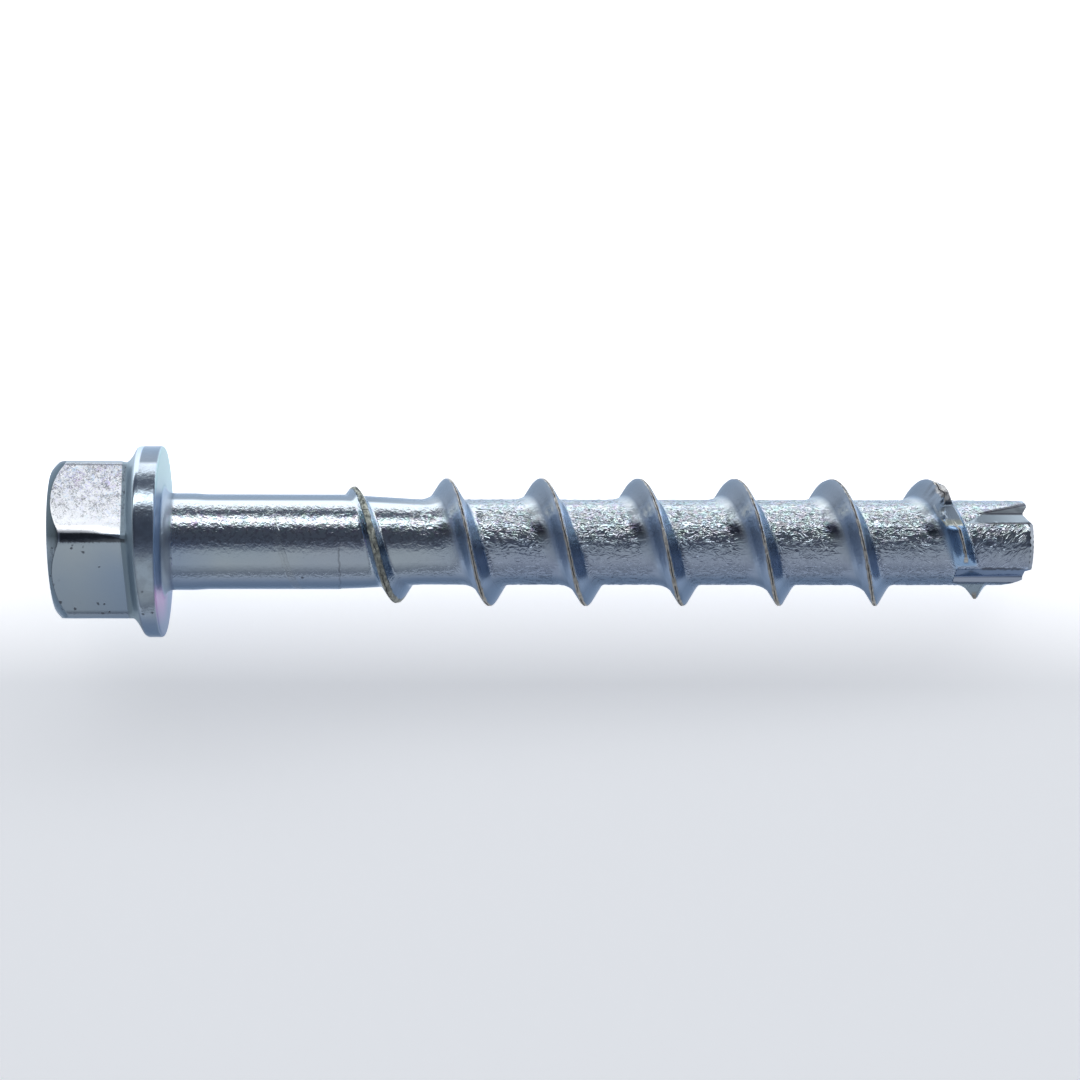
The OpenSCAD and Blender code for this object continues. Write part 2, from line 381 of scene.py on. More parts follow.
def corner_rows():
    """The angles of the head's rows, which crowd round the hexagon's corners."""
    even = np.arange(ROWS) * 360 / ROWS
    off = (even - HEX_TURN + 30) % 60 - 30
    r = corner_radius(np.radians(even))
    centre = (ACROSS_FLATS / 2 - r) / math.cos(math.pi / 6)
    ends = np.degrees(np.arctan2(r / 2, centre + r * math.cos(math.pi / 6)))
    crowded = [math.copysign(np.interp(abs(o), (0, 2, 4, 6, 8, 10, 30),
                                       (0, e / 3, e / 1.5, e, e + 0.4, e + 2.1, 30)), o)
               for o, e in zip(off, ends)]
    return np.radians(even - off + crowded)


def arc(cx, cy, r, start, end, count):
    """Points of an arc in degrees, without its first point."""
    turns = np.radians(np.linspace(start, end, count + 1)[1:])
    return [(cx + r * math.cos(t), cy + r * math.sin(t)) for t in turns]


def head_profile(reach):
    """The outline (radius, z) of the head along one meridian, from the pole to the neck."""
    inner = np.array([END_R, -HEAD_HEIGHT])
    outer = np.array([ACROSS_FLATS / 2 / math.cos(math.pi / 6), -HEAD_HEIGHT + CHAMFER])
    span = outer - inner
    size = float(np.hypot(*span))
    inset = math.sqrt(DOME_R ** 2 - size ** 2 / 4)
    centre = (inner + outer) / 2 + np.array([-span[1], span[0]]) / size * inset
    start = math.degrees(math.atan2(inner[1] - centre[1], inner[0] - centre[0]))
    stop = -math.degrees(math.acos(min(1, (reach - centre[0]) / DOME_R)))
    points = [(r, -HEAD_HEIGHT) for r in (1.5, 3, 4.4, 5.4, END_R)]
    points += arc(centre[0], centre[1], DOME_R, start, stop - 1.2, 6)
    points += arc(centre[0], centre[1], DOME_R, stop - 1.2, stop, 1)
    top = points[-1][1]
    points.append((reach, top + 0.05))
    top += 0.05

    back = (FLANGE_R - BACK_R * (1 - math.sin(SLOPE)), -RIM - BACK_R * math.cos(SLOPE))
    # The back leaves the hexagon at one height all round, with a concave foot
    foot = np.array([reach, -FOOT])
    low = np.array([reach, -FOOT - 1.1 * FOOT_R])
    high = foot + (np.array(back) - foot) * 0.25
    points += [(reach, top + (low[1] - top) * i / 9) for i in range(1, 10)]
    points += [tuple(low * (1 - s) ** 2 + foot * 2 * s * (1 - s) + high * s ** 2)
               for s in (0.2, 0.4, 0.6, 0.8, 1)]
    points += [tuple(high + (np.array(back) - high) * i / 4) for i in range(1, 5)]
    points += arc(FLANGE_R - BACK_R, -RIM, BACK_R, math.degrees(SLOPE) - 90, 0, 6)
    points += [(FLANGE_R, -RIM + (RIM - FACE_R) * i / 4) for i in range(1, 5)]
    points += arc(FLANGE_R - FACE_R, -FACE_R, FACE_R, 0, 90, 4)
    inside = COLLAR_R + FILLET
    points += [(FLANGE_R - FACE_R + (inside - FLANGE_R + FACE_R) * i / 5, 0) for i in range(1, 6)]
    points += arc(inside, FILLET, FILLET, 270, 180, 5)
    points += [(COLLAR_R, FILLET + (COLLAR_LENGTH - 0.6 - FILLET) * i / 4) for i in range(1, 5)]
    points += [(SHANK_R + (COLLAR_R - SHANK_R) * (0.5 + 0.5 * math.cos(math.pi * i / 6)),
                COLLAR_LENGTH - 0.6 + 1.5 * i / 6) for i in range(1, 7)]
    first = COLLAR_LENGTH + 0.9
    points += [(SHANK_R, first + (THREAD_START - first) * i / 12) for i in range(1, 13)]
    return points


def forge_head(x, y, z):
    """The small irregularities of the forged head: its end leans, and its faces are uneven."""
    low = (1 - x / (ACROSS_FLATS / 2)) / 2
    top = (1 - low) * min(1, max(0, 0.6 + 0.13 * y))
    lean = (0.24 * low - 0.17 * top) * min(1, max(0, (-z - 3) / 5.5))
    back = -(0.08 + 0.045 * x) * min(1, max(0, (-z - 0.6) / 0.75)) * min(1, max(0, 3.4 + z))
    keep = min(1, max(0, (-z - 0.1) * 4))
    dents = [noise.noise(Vector((x, y, z)) * 0.45 + Vector((7 * i, 0, 0))) for i in range(3)]
    grain = noise.noise(Vector((x, y, z)) * 1.7) * 0.35
    shrink = 1 - 0.004 * keep * (0.5 + 0.5 * dents[0] + 0.5 * grain)
    x += 0.1 * top * min(1, max(0, (-z - 2.3) * 2))
    return x * shrink, y * shrink, z + lean + back + 0.03 * keep * (dents[2] - 0.4) * (z > -8)


# ---------------------------------------------------------------- one closed mesh
def build_screw(material):
    radius, z = thread_grid(material)
    step = 2 * math.pi / ROWS
    angle = np.repeat((np.arange(ROWS) * step)[:, None], radius.shape[1], axis=1)
    radius, z = tear_crest(angle, radius, z)
    radius = np.minimum(radius, THREAD_R - 0.012)
    bevel = CORE_R - np.clip(z - BEVEL_EDGE, 0, TIP_BEVEL)
    radius = np.where(z > BEVEL_EDGE, np.minimum(radius, bevel), radius)
    angle = follow_groove(angle, z)
    radius = cut_flutes(angle, radius, z)
    # A faint step runs round the lower side of the neck where rolling started
    low_side = np.clip(1 - np.abs(np.degrees(angle) - 145) / 55, 0, 1) ** 0.5
    radius -= 0.08 * low_side * np.clip((z - 14.2) / 0.1, 0, 1) * np.clip((16.2 - z) / 2, 0, 1)

    # Each row stops at the worn end, and starts at the neck's last ring
    for k in range(ROWS):
        stop = LENGTH
        for _ in range(12):
            r = float(np.interp(stop, z[k], radius[k]))
            a = float(np.interp(stop, z[k], angle[k]))
            stop = 0.5 * stop + 0.5 * (LENGTH + float(rim_height(r * math.cos(a))))
        last = float(np.interp(stop, z[k], radius[k]))
        # The last columns are spaced so that one of them lies on the bevel's edge
        if stop > BEVEL_EDGE + 0.05:
            e = int(np.nonzero(z[k] < stop)[0][-1])
            new = np.interp(np.arange(e - 9, e + 1), (e - 9, e - 2, e + 1),
                            (z[k, e - 9], BEVEL_EDGE, stop))
            near_end = slice(e - 11, e + 3)
            fresh = [np.interp(new, z[k, near_end], v[k, near_end]) for v in (radius, angle)]
            radius[k, e - 9:e + 1], angle[k, e - 9:e + 1] = fresh
            radius[k, e - 2] = max(radius[k, e - 2], min(radius[k, e - 3], CORE_R))
            z[k, e - 9:e + 1] = new
        over, under = z[k] > stop, z[k] < THREAD_START
        radius[k, over], z[k, over], angle[k, over] = last, stop, a
        radius[k, under], z[k, under] = SHANK_R, THREAD_START

    mesh = bmesh.new()

    def add(r, a, h):
        x, y = r * math.cos(a), r * math.sin(a)
        return mesh.verts.new((x, y, h))

    # Head, flange and neck
    turned = corner_rows()
    reach = hexagon_reach(turned)
    profiles = [head_profile(float(v)) for v in reach]
    # The near corner grows sharper towards the flange, on its upper side
    upper_side = np.clip((92 - np.degrees(turned)) / 3, 0, 1) * (turned > 1.0)
    sharper = np.clip(hexagon_reach(turned, SHARP_R) - reach, 0, 1) * upper_side
    pole = mesh.verts.new(forge_head(0, 0, -HEAD_HEIGHT))
    rings = []
    for i in range(len(profiles[0])):
        ring = []
        for k in range(ROWS):
            r, h = profiles[k][i]
            if r > reach[k] - 0.01 and h < -FOOT:
                r += float(sharper[k]) * min(1, max(0, (h + 5.4) / 2.4))
            a = k * step + (turned[k] - k * step) * min(1, max(0, -h / 0.9))
            ring.append(mesh.verts.new(forge_head(r * math.cos(a), r * math.sin(a), h)))
        rings.append(ring)
    for k in range(ROWS):
        mesh.faces.new((pole, rings[0][(k + 1) % ROWS], rings[0][k]))
    for lower, upper in zip(rings, rings[1:]):
        for k in range(ROWS):
            n = (k + 1) % ROWS
            mesh.faces.new((lower[k], lower[n], upper[n], upper[k]))

    # Thread and tip: the row after the last is the first, one pitch further on
    total = radius.shape[1]
    grid = [[add(radius[k, j], angle[k, j], z[k, j]) for j in range(total)] for k in range(ROWS)]
    for k in range(ROWS):
        for j in range(total - 1):
            a, b = grid[k][j], grid[k][j + 1]
            if k < ROWS - 1:
                c, d = grid[k + 1][j + 1], grid[k + 1][j]
            elif j + 1 + COLUMNS < total:
                c, d = grid[0][j + 1 + COLUMNS], grid[0][j + COLUMNS]
            else:
                continue
            if (a.co - b.co).length < 1e-5 and (c.co - d.co).length < 1e-5:
                continue
            mesh.faces.new((a, d, c, b))

    # The end, filled by rungs from one side of the rim to the other
    rim = [grid[k][total - 1] for k in range(ROWS)]
    across = 22
    ladder = []
    for k in range(1, ROWS // 2):
        a, b = rim[k].co, rim[ROWS - k].co
        rung = [rim[k]]
        for i in range(1, across):
            p = a.lerp(b, i / across)
            fade = 1 - (2 * i / across - 1) ** 4
            rough = noise.noise(Vector((p.x * 1.7, p.y * 1.7, 9.3))) * 0.03 * fade
            p.z = LENGTH + float(rim_height(p.x)) + rough - 0.02 * fade
            rung.append(mesh.verts.new(p))
        ladder.append(rung + [rim[ROWS - k]])
    for one, two in zip(ladder, ladder[1:]):
        for i in range(across):
            mesh.faces.new((one[i], one[i + 1], two[i + 1], two[i]))
    for pole_vertex, rung, turned in ((rim[0], ladder[0], False), (rim[ROWS // 2], ladder[-1], True)):
        for i in range(across):
            three = (pole_vertex, rung[i + 1], rung[i])
            mesh.faces.new(three[::-1] if turned else three)

    bmesh.ops.remove_doubles(mesh, verts=mesh.verts, dist=1e-4)
    bmesh.ops.dissolve_degenerate(mesh, edges=mesh.edges, dist=1e-5)
    bmesh.ops.recalc_face_normals(mesh, faces=mesh.faces)
    loose = [v for v in mesh.verts if not v.link_faces]
    bmesh.ops.delete(mesh, geom=loose, context="VERTS")

    # From the screw's own frame to the shared one: lying, and tilted to its resting line
    lying = Matrix(((0, 0, 1, 0), (1, 0, 0, 0), (0, 1, 0, 0), (0, 0, 0, 1)))
    tilt = Matrix.Rotation(REST_TILT, 4, "Y")
    bmesh.ops.transform(mesh, matrix=Matrix.Scale(MM, 4) @ tilt @ lying, verts=mesh.verts)
    open_edges = sum(1 for e in mesh.edges if not e.is_manifold)
    for face in mesh.faces:
        face.smooth = True
    for edge in mesh.edges:
        if edge.verts[0].co.x > 0.064 and len(edge.link_faces) == 2:
            edge.smooth = edge.calc_face_angle() < math.radians(30)
    data = bpy.data.meshes.new("zinc_screw")
    mesh.to_mesh(data)
    mesh.free()
    print("screw:", len(data.vertices), "vertices,", open_edges, "open edges")
    data.materials.append(material)
    screw = bpy.data.objects.new("zinc_screw", data)
    bpy.context.scene.collection.objects.link(screw)
    return screw


# ---------------------------------------------------------------- materials
def ramp(value, low, high):
    """0 below low, 1 above high, and a straight line between them."""
    return ((value - low) / (high - low)).math("MULTIPLY", 1, clamp=True)


def blend(tree, factor, one, two, mode="MIX"):
    """A Mix node for colours, which may be sockets or values."""
    node = tree.nodes.new("ShaderNodeMix")
    node.data_type, node.blend_type = "RGBA", mode
    plug(tree, node.inputs[0], factor)
    plug(tree, node.inputs[6], one)
    plug(tree, node.inputs[7], two)
    return Sock(tree, node.outputs[2])


def zinc():
    """Bluish zinc plate: smooth on the neck, grained on the head, hammered along the thread."""
    material = bpy.data.materials.new("zinc_plate")
    material.use_nodes = True
    tree = material.node_tree
    shader = tree.nodes["Principled BSDF"]
    shader.inputs["Specular Tint"].default_value = (0.6, 0.7, 0.82, 1)

    def split(vector):
        found = make(tree, "ShaderNodeSeparateXYZ", (), {0: vector}).socket.node.outputs
        return [Sock(tree, s) for s in found]

    where = make(tree, "ShaderNodeTexCoord", out=3)
    spot = make(tree, "ShaderNodeVectorMath", {"operation": "SCALE"}, {0: where, "Scale": 1 / MM})
    east, up, near = split(spot)
    along = east * math.cos(REST_TILT) - near * math.sin(REST_TILT)
    out = east * math.sin(REST_TILT) + near * math.cos(REST_TILT)
    rho = (up * up + out * out).math("SQRT")
    side = up / rho
    to_end = -split(make(tree, "ShaderNodeTexCoord", out=1))[0]

    def cloud(scale, detail=2.0, distortion=0.0, output=0):
        return make(tree, "ShaderNodeTexNoise", (),
                    {"Vector": spot, "Scale": scale, "Detail": detail, "Distortion": distortion},
                    output)

    def band(value, low, high, soft):
        return ramp(value, low, low + soft) * (1 - ramp(value, high - soft, high))

    # Place on the helix: the distance from the nearest crest line
    turn = out.math("ARCTAN2", up) / (2 * math.pi)
    turn = turn + ((along - FIRST_CREST) / PITCH - turn).math("ROUND")
    crest_z = FIRST_CREST + PITCH * turn + 0.12 * (side - 1) \
        + 0.55 * ((240 - 360 * turn) / 600).math("MAXIMUM", 0) \
        + 0.35 * ((360 * turn - 1800) / 180).math("MAXIMUM", 0)
    off = along - crest_z
    first_turn = 1 - ramp(along, 20.5, 23)
    ragged = make(tree, "ShaderNodeTexNoise", (), {"Vector": spot, "Scale": 1.6, "Detail": 3.0}) - 0.5
    land = (1 - ramp(abs(off) - first_turn * 0.15 + side * 0.04 + ragged * 0.25, 0.1, 0.16)) \
        * ramp(along, 8, 10) \
        * ramp(rho + first_turn * 0.2, 4.05, 4.3)

    # Zones: hammered between the ridges, smooth on the neck, the flanks and the flutes
    in_thread = ramp(along, 17, 29)
    front = ramp(near + 3.5, 0, 1)
    groove_edge = 2.38 + (along - 66.25) * 0.185
    in_groove = front * ramp(along, 66.2, 66.3)
    groove_top = in_groove * ramp(up, 2.32, 2.38) * (1 - ramp(up - groove_edge, -0.05, 0))
    wedge = 1.62 + ramp(along, 64.9, 66.7) * 0.76
    groove_low = front * ramp(along, 64.9, 65.2) * ramp(up, 1.56, 1.62) * (1 - ramp(up - wedge, -0.06, 0))
    cut = groove_top + groove_low
    smooth_foot = band(off, -2.3, 0.1, 0.5) * (1 - ramp(along, 62, 64))
    hammered = in_thread * (1 - ramp(rho, 3.6, 3.85)) * ramp(rho, 3.38, 3.43) * (1 - cut) \
        * (1 - ramp(along, 69.9, 70.2)) * (1 - smooth_foot * 0.65)
    torn = band(along, 61, 66.6, 0.4) * ramp(rho, 4.25, 4.5) * band(side, 0.74, 0.93, 0.04) \
        * front * ramp(off, -0.3, -0.1)
    head = 1 - ramp(along, -2.5, -2.3)
    side_face = 1 - ramp(abs(to_end), 0.25, 0.4)
    top_flat = head * band(up, 0.55, 6.3, 0.2) * ramp(near, 0, 1) * side_face
    neck = (1 - in_thread) * ramp(along, 0.3, 1)
    flank = ramp(rho, 3.62, 3.9) * ramp(along, 18, 20)
    rim = band(along, -1.6, -0.1, 0.1)
    back = (ramp(to_end, 0.35, 0.6) * band(along, -3.3, -1.1, 0.1)) \
        .math("MAXIMUM", band(along + up * 0.045, -2.8, -2.15, 0.08))
    chamfer = band(to_end, 0.28, 0.97, 0.1) * (1 - ramp(along, -7.1, -6.9)) \
        * ramp(up, -1.6, 0.4) * (0.5 + 0.5 * ramp(out, -0.5, 2.5))
    chamfer_low = band(to_end, 0.28, 0.97, 0.1) * (1 - ramp(along, -7.1, -6.9)) * (1 - ramp(up, -1.6, 0.4))
    bevel = ramp(along, 70.28, 70.36) * ramp(rho, 3.1, 3.15)
    flat_last = (1 - ramp(abs(up * 0.617 + out * 0.787 - 3.97), 0.05, 0.09)) * band(along, 61.3, 65.2, 0.1) \
        * front * ramp(rho, 3.75, 3.85) * band(side, 0.30, 0.77, 0.03)
    rough_crest = cloud(2.6, 3.0)
    root = band(along, -0.1, 1.0, 0.25) * (1 - ramp(rho, 4.6, 4.8))
    # Painted shade: a dark patch on the core before each ridge's head-side foot, on the upper side
    painted_foot_shade = in_thread * band(off, -2.6, -1.1, 0.5) * band(side, 0.05, 0.6, 0.2) * (1 - ramp(rho, 3.7, 3.9))
    # Painted highlight: small white-cyan patches on the ridges' head-side flanks
    painted_flank_highlight = flank * ramp(rough_crest, 0.3, 0.55) \
        * (band(off, -1.1, -0.1, 0.35) * band(side, 0.45, 0.7, 0.12)
           + band(off, -2.0, -1.0, 0.35) * band(side, 0.78, 0.98, 0.1))

    # Height in mm: wrinkles drawn out along the screw, slanting at the tip, and a fine grain
    slant = (along - 64).math("MAXIMUM", 0)
    drawn = make(tree, "ShaderNodeCombineXYZ", (), {0: along * 0.6, 1: up - slant * 0.7, 2: near})

    def strokes(scale, detail=1.0, distortion=0.8):
        return make(tree, "ShaderNodeTexNoise", (),
                    {"Vector": drawn, "Scale": scale, "Detail": detail, "Distortion": distortion})

    worm = (strokes(1.9, 1.0, 1.4) - 0.5).math("ABSOLUTE")
    fine = (strokes(4.0, 1.0, 0.8) - 0.5).math("ABSOLUTE")
    grain = (cloud(3.4, 1.0, 1.2) - 0.5).math("ABSOLUTE")
    speckle = cloud(8.0, 2.0, 0.3)
    pebble = cloud(3.0, 3.0, 0.5)
    height = worm * hammered * 0.16 + fine * hammered * 0.03 \
        + grain * head * (1 - top_flat * 0.9) * 0.02 \
        + pebble * (neck * 0.036 + smooth_foot * in_thread * 0.03 + rim * 0.018 + head * (1 - top_flat) * 0.004) \
        + speckle * (neck * 0.008 + 0.002) \
        + rough_crest * land * (0.1 + 0.25 * first_turn) + rough_crest * torn * 0.05

    # The lapped crest: a dark line that wanders between two worn edges
    wander = (cloud(0.5, 2.0) - 0.5) * 0.14 + (rough_crest - 0.5) * first_turn * 0.5
    fold = (1 - ramp(abs(off - wander), 0.015, 0.045)) * ramp(cloud(0.7, 2.0), 0.40, 0.47) * land
    height = height - fold * 0.05

    # Small pits and strokes, crowded at the end of the head's lower side
    shifted = blend(tree, 0.5, spot, cloud(1.6, 2.0, 0.0, 1), "ADD")
    cells = make(tree, "ShaderNodeTexVoronoi", (),
                 {"Vector": shifted, "Scale": 1.5, "Randomness": 1.0})
    field = (1 - ramp(along, -6.2, -4.0)) * (1 - ramp(up, -0.6, 0.2)) * ramp(cloud(0.5, 1.0), 0.34, 0.44) \
        + 0.8 * ramp(cloud(0.35, 1.0), 0.62, 0.66) * (1 - ramp(along, -0.6, -0.4)) \
        * (1 - ramp(up, -1, 0)) + rim * (1 - ramp(up, -2, -1)) * ramp(cloud(0.7, 1.0), 0.5, 0.6)
    pits = (1 - ramp(cells, 0.11, 0.22)) * ramp(field, 0.4, 0.8) * (1 - ramp(to_end, 0.8, 0.9))

    # Three single marks: a nick on the neck, a dot on the bearing face, one by the flange
    for x, y, z, size in ((1.0, -1.25, 3.55, 0.14), (0.1, -5.3, 4.6, 0.09), (11.4, -2.9, 2.1, 0.1)):
        away = make(tree, "ShaderNodeVectorMath", {"operation": "DISTANCE"},
                    {0: spot, 1: (x, y, z)}, 1)
        pits = pits.math("MAXIMUM", 1 - ramp(away + (speckle - 0.5) * 0.2, size * 0.6, size * 1.3))
    height = height - pits * 0.03
    bump = make(tree, "ShaderNodeBump", (), {"Strength": 1.0, "Distance": MM, "Height": height})
    plug(tree, shader.inputs["Normal"], bump)

    body_side = ramp(along, 0.3, 0.8) * (1 - flank)
    # Colour: grey-blue, bluer by the flange and on the ridges, with pastel glints
    drift = cloud(0.16, 2.0)
    tint = blend(tree, ramp(drift, 0.35, 0.65), (0.47, 0.56, 0.64, 1), (0.53, 0.60, 0.64, 1))
    violet = ramp(cloud(0.11, 1.0), 0.5, 0.7) * 0.15
    tint = blend(tree, violet, tint, (0.47, 0.46, 0.64, 1))
    by_flange = ramp(along, -0.3, 0) * (1 - ramp(along, 1.5, 4.5))
    tint = blend(tree, (by_flange * 0.7).math("MAXIMUM", flank), tint, (0.38, 0.475, 0.62, 1))
    # Painted light: the upper side of the body lighter and greyer; painted shade: the lower side of the thread
    # darker and bluer
    tint = blend(tree, ramp(side, -0.05, 0.2) * body_side, tint, (0.56, 0.62, 0.65, 1))
    tint = blend(tree, in_thread * ramp(-side, -0.15, 0.5) * (1 - flank) * 0.6, tint, (0.42, 0.47, 0.63, 1))
    tint = blend(tree, flank * ramp(along, 58, 62) * 0.8, tint, (0.27, 0.42, 0.62, 1))
    tint = blend(tree, root * 0.8, tint, (0.30, 0.36, 0.43, 1))
    mottle = ramp(pebble + (speckle - 0.5) * 0.4, 0.48, 0.6) * band(side, -0.15, 0.8, 0.1)
    tint = blend(tree, mottle * neck * 0.4, tint, (0.24, 0.22, 0.26, 1))
    # The painted shade before each ridge's foot, near black
    tint = blend(tree, painted_foot_shade * 0.92, tint, (0.05, 0.055, 0.09, 1))
    # The painted highlights on the flanks, near white
    tint = blend(tree, painted_flank_highlight * 0.9, tint, (0.92, 1.0, 1.0, 1))
    # Painted reflection: the head's lower flats bluer
    blue_flat = head * ramp(along, -6.5, -3) * (1 - ramp(up, -2.5, -0.5))
    tint = blend(tree, blue_flat * 0.7, tint, (0.36, 0.47, 0.63, 1))
    glint = cloud(2.0, 1.0, 0.8, 1)
    sparkle = hammered * ramp(side, -0.1, 0.25) * 0.34 + neck * band(side, 0.1, 0.8, 0.2) * 0.25
    tint = blend(tree, sparkle, tint, glint, "OVERLAY")
    smudge = ramp(cloud(0.9, 3.0), 0.4, 0.6)
    tint = blend(tree, rim * 0.35 * smudge, tint, (0.25, 0.28, 0.32, 1))

    # The head's upper flat is painted near white, a painted highlight, with short dark strokes that crowd at its top
    tint = blend(tree, top_flat, tint, (0.96, 0.97, 0.98, 1))
    loops = (1 - ramp((cloud(2.6, 1.0, 1.0) - 0.5).math("ABSOLUTE"), 0.02, 0.07)) * ramp(up + along * 0.4, -1.2, 2.2)
    pastel = blend(tree, 0.75, (0.5, 0.55, 0.8, 1), cloud(1.1, 1.0, 0.8, 1), "OVERLAY")
    tint = blend(tree, top_flat * loops * 0.5, tint, pastel)
    curls = (cloud(5.0, 1.0, 0.8) - 0.5).math("ABSOLUTE")
    hair = (1 - ramp(grain, 0.015, 0.05)) * ramp(cloud(1.9, 1.0), 0.46, 0.5) \
        + (1 - ramp(curls, 0.02, 0.06)) * ramp(cloud(2.1, 1.0, 0.5), 0.46, 0.5) * ramp(up, 1, 3)
    hair = hair * ramp(up, -0.5, 3.0)

    # The back of the flange, the chamfer at the head's end, and the bearing face, in painted reflection and shade
    # Painted reflection: the back of the flange in a grey-teal tone, with less metallic
    tint = blend(tree, back * 0.9, tint, (0.27, 0.36, 0.42, 1))
    # Painted shade: the head darker towards its lower side, darkest along its lowest edge
    tint = blend(tree, head * ramp(-up, 0.5, 5.5) * 0.5, tint, (0.24, 0.31, 0.40, 1))
    tint = blend(tree, head * ramp(-up, 5.5, 5.75) * 0.7, tint, (0.18, 0.22, 0.28, 1))
    # Painted reflection: the chamfer at the head's end near black above, dark blue-grey below
    tint = blend(tree, chamfer * 0.95, tint, (0.06, 0.08, 0.09, 1))
    tint = blend(tree, chamfer_low * 0.9, tint, (0.12, 0.155, 0.19, 1))
    tint = blend(tree, bevel * 0.8, tint, (0.24, 0.26, 0.29, 1))
    # Painted reflection: a dark band with a wavy edge along the hexagon's near corner
    wave = (cloud(0.8, 2.0) - 0.5) * 0.25
    corner = band(along, -7.6, -2.3, 0.15) * front * ramp(near, 5, 5.5) \
        * ramp(up + (speckle - 0.5) * 0.25, -0.14, -0.02) \
        * (1 - ramp(up + wave + ramp(along, -4.8, -2.4) * 0.5, 0.64, 0.72))
    tint = blend(tree, corner * (0.7 + 0.25 * rough_crest), tint, (0.035, 0.035, 0.042, 1))
    bearing = band(along, -0.2, 0.4, 0.15) * ramp(rho, 4.3, 4.6)
    # Painted reflection on the bearing face: cyan above, violet below, and dark blue in a band where the neck stands
    # before it
    face = blend(tree, ramp(up, 1, 5.5), (0.20, 0.30, 0.50, 1), (0.36, 0.56, 0.58, 1))
    face = blend(tree, band(-up, 2.0, 6.8, 2.0) * ramp(out, -3, 1), face, (0.66, 0.40, 0.72, 1))
    face = blend(tree, (1 - ramp(abs(up), 3.3, 4.3)) * 0.9, face, (0.12, 0.21, 0.38, 1))
    tint = blend(tree, bearing * 0.9, tint, face)

    # Painted shade: the far lower side and the uppermost edge darker, the groove's facets in painted grey tones
    body = ramp(along, 0.3, 0.8) * (1 - cut)
    low_flute = ramp(along, 64.3, 64.4) * (1 - ramp(rho, 3.36, 3.42))
    # Painted shade on the lower side of the body and of the rim
    lower = ramp(-side, 0.46, 0.64) * 0.5 + ramp(-side, 0.68, 0.85) * 0.5
    tint = blend(tree, lower * (body * (1 - low_flute)).math("MAXIMUM", rim * ramp(-side, 0.45, 0.8)),
                 tint, (0.17, 0.225, 0.32, 1))
    # Painted shade along the uppermost edge of the body, the rim and the flanks' upper half
    upper = ramp(side, 0.84, 0.88) * body * (1 - flank) * (1 - 0.65 * in_thread) \
        + ramp(side, 0.79, 0.82) * rim \
        + ramp(side, 0.45, 0.75) * flank * (1 - land)
    tint = blend(tree, upper * 0.92, tint, (0.15, 0.18, 0.22, 1))
    # Painted shade: the groove's lower facet grey
    tint = blend(tree, groove_low * 0.75, tint, (0.30, 0.37, 0.43, 1))
    # Painted reflection: the lower flute's long wall dark blue
    flute_flat = band(along, 64.4, 71.5, 0.1) * band(up, -2.86, -2.12, 0.06) * ramp(out, 0, 0.3)
    tint = blend(tree, flute_flat * 0.85, tint, (0.12, 0.165, 0.26, 1))
    # Painted reflection: a lighter facet on the lower side near the tip
    facet = band(along, 62.5, 67.6, 0.2) * ramp(rho, 3.5, 3.6) * ramp(-side, 0.7, 0.8) * ramp(out, 0, 0.3)
    tint = blend(tree, facet * 0.8, tint, (0.42, 0.52, 0.60, 1))
    # Painted reflection: the flat on the last ridge light grey-blue, goldish towards its lower part
    flat_tint = blend(tree, band(up, 1.2, 2.0, 0.25), (0.36, 0.43, 0.50, 1), (0.50, 0.52, 0.44, 1))
    tint = blend(tree, flat_last * 0.9, tint, flat_tint)
    # Painted shade: a dark line along the head's uppermost edge
    top_edge = head * (1 - top_flat) * ramp(up, 6.2, 6.32) * (1 - back)
    tint = blend(tree, top_edge * 0.7, tint, (0.16, 0.18, 0.20, 1))
    # Painted shade: the groove's upper facet dark
    tint = blend(tree, groove_top * 0.8, tint, (0.15, 0.17, 0.19, 1))
    worn_crest_shaded_below = blend(tree, ramp(rough_crest, 0.35, 0.6), (0.45, 0.41, 0.35, 1), (0.85, 0.82, 0.74, 1))
    olive = blend(tree, ramp(cloud(2.2, 3.0, 0.6), 0.42, 0.6), (0.12, 0.14, 0.10, 1), (0.52, 0.54, 0.44, 1))
    worn_crest_shaded_below = blend(tree, first_turn * 0.9, worn_crest_shaded_below, olive)
    # Painted shade: the worn crest darker on the lower side
    worn_crest_shaded_below = blend(tree, ramp(-side, -0.4, 0.5) * 0.4, worn_crest_shaded_below, (0.35, 0.32, 0.27, 1))
    tint = blend(tree, land * 0.9, tint, worn_crest_shaded_below)
    torn_metal = blend(tree, ramp(cloud(1.9, 3.0), 0.42, 0.55), (0.26, 0.25, 0.25, 1),
                       (0.80, 0.79, 0.76, 1))
    tint = blend(tree, torn * 0.85, tint, torn_metal)

    # Dark marks: folds, pits, the strokes on the flat, and the faint ring on the neck; painted shade in the
    # wrinkles' creases and along the groove's and the lower flute's edges
    # Painted shade in the creases of the wrinkles, on the upper side
    squiggle = (1 - ramp(worm, 0.015, 0.045)) * hammered * ramp(side, -0.3, 0.2)
    ring = (1 - ramp(abs(along - 14.3 + (cloud(1.2, 2.0) - 0.5) * 0.5), 0.03, 0.09)) \
        * ramp(-side, 0.02, 0.2)
    # Painted shade: dark lines along the groove's upper edge, valley and lower edge
    edges = 1 - ramp(abs(up - groove_edge), 0.08, 0.15).math("MINIMUM", ramp(abs(up - 2.36), 0.06, 0.12)) \
        .math("MINIMUM", ramp(abs(up - 1.58 + (rough_crest - 0.5) * 0.1), 0.05, 0.11))
    edges = edges * in_groove * ramp(along, 66.3, 67.0)
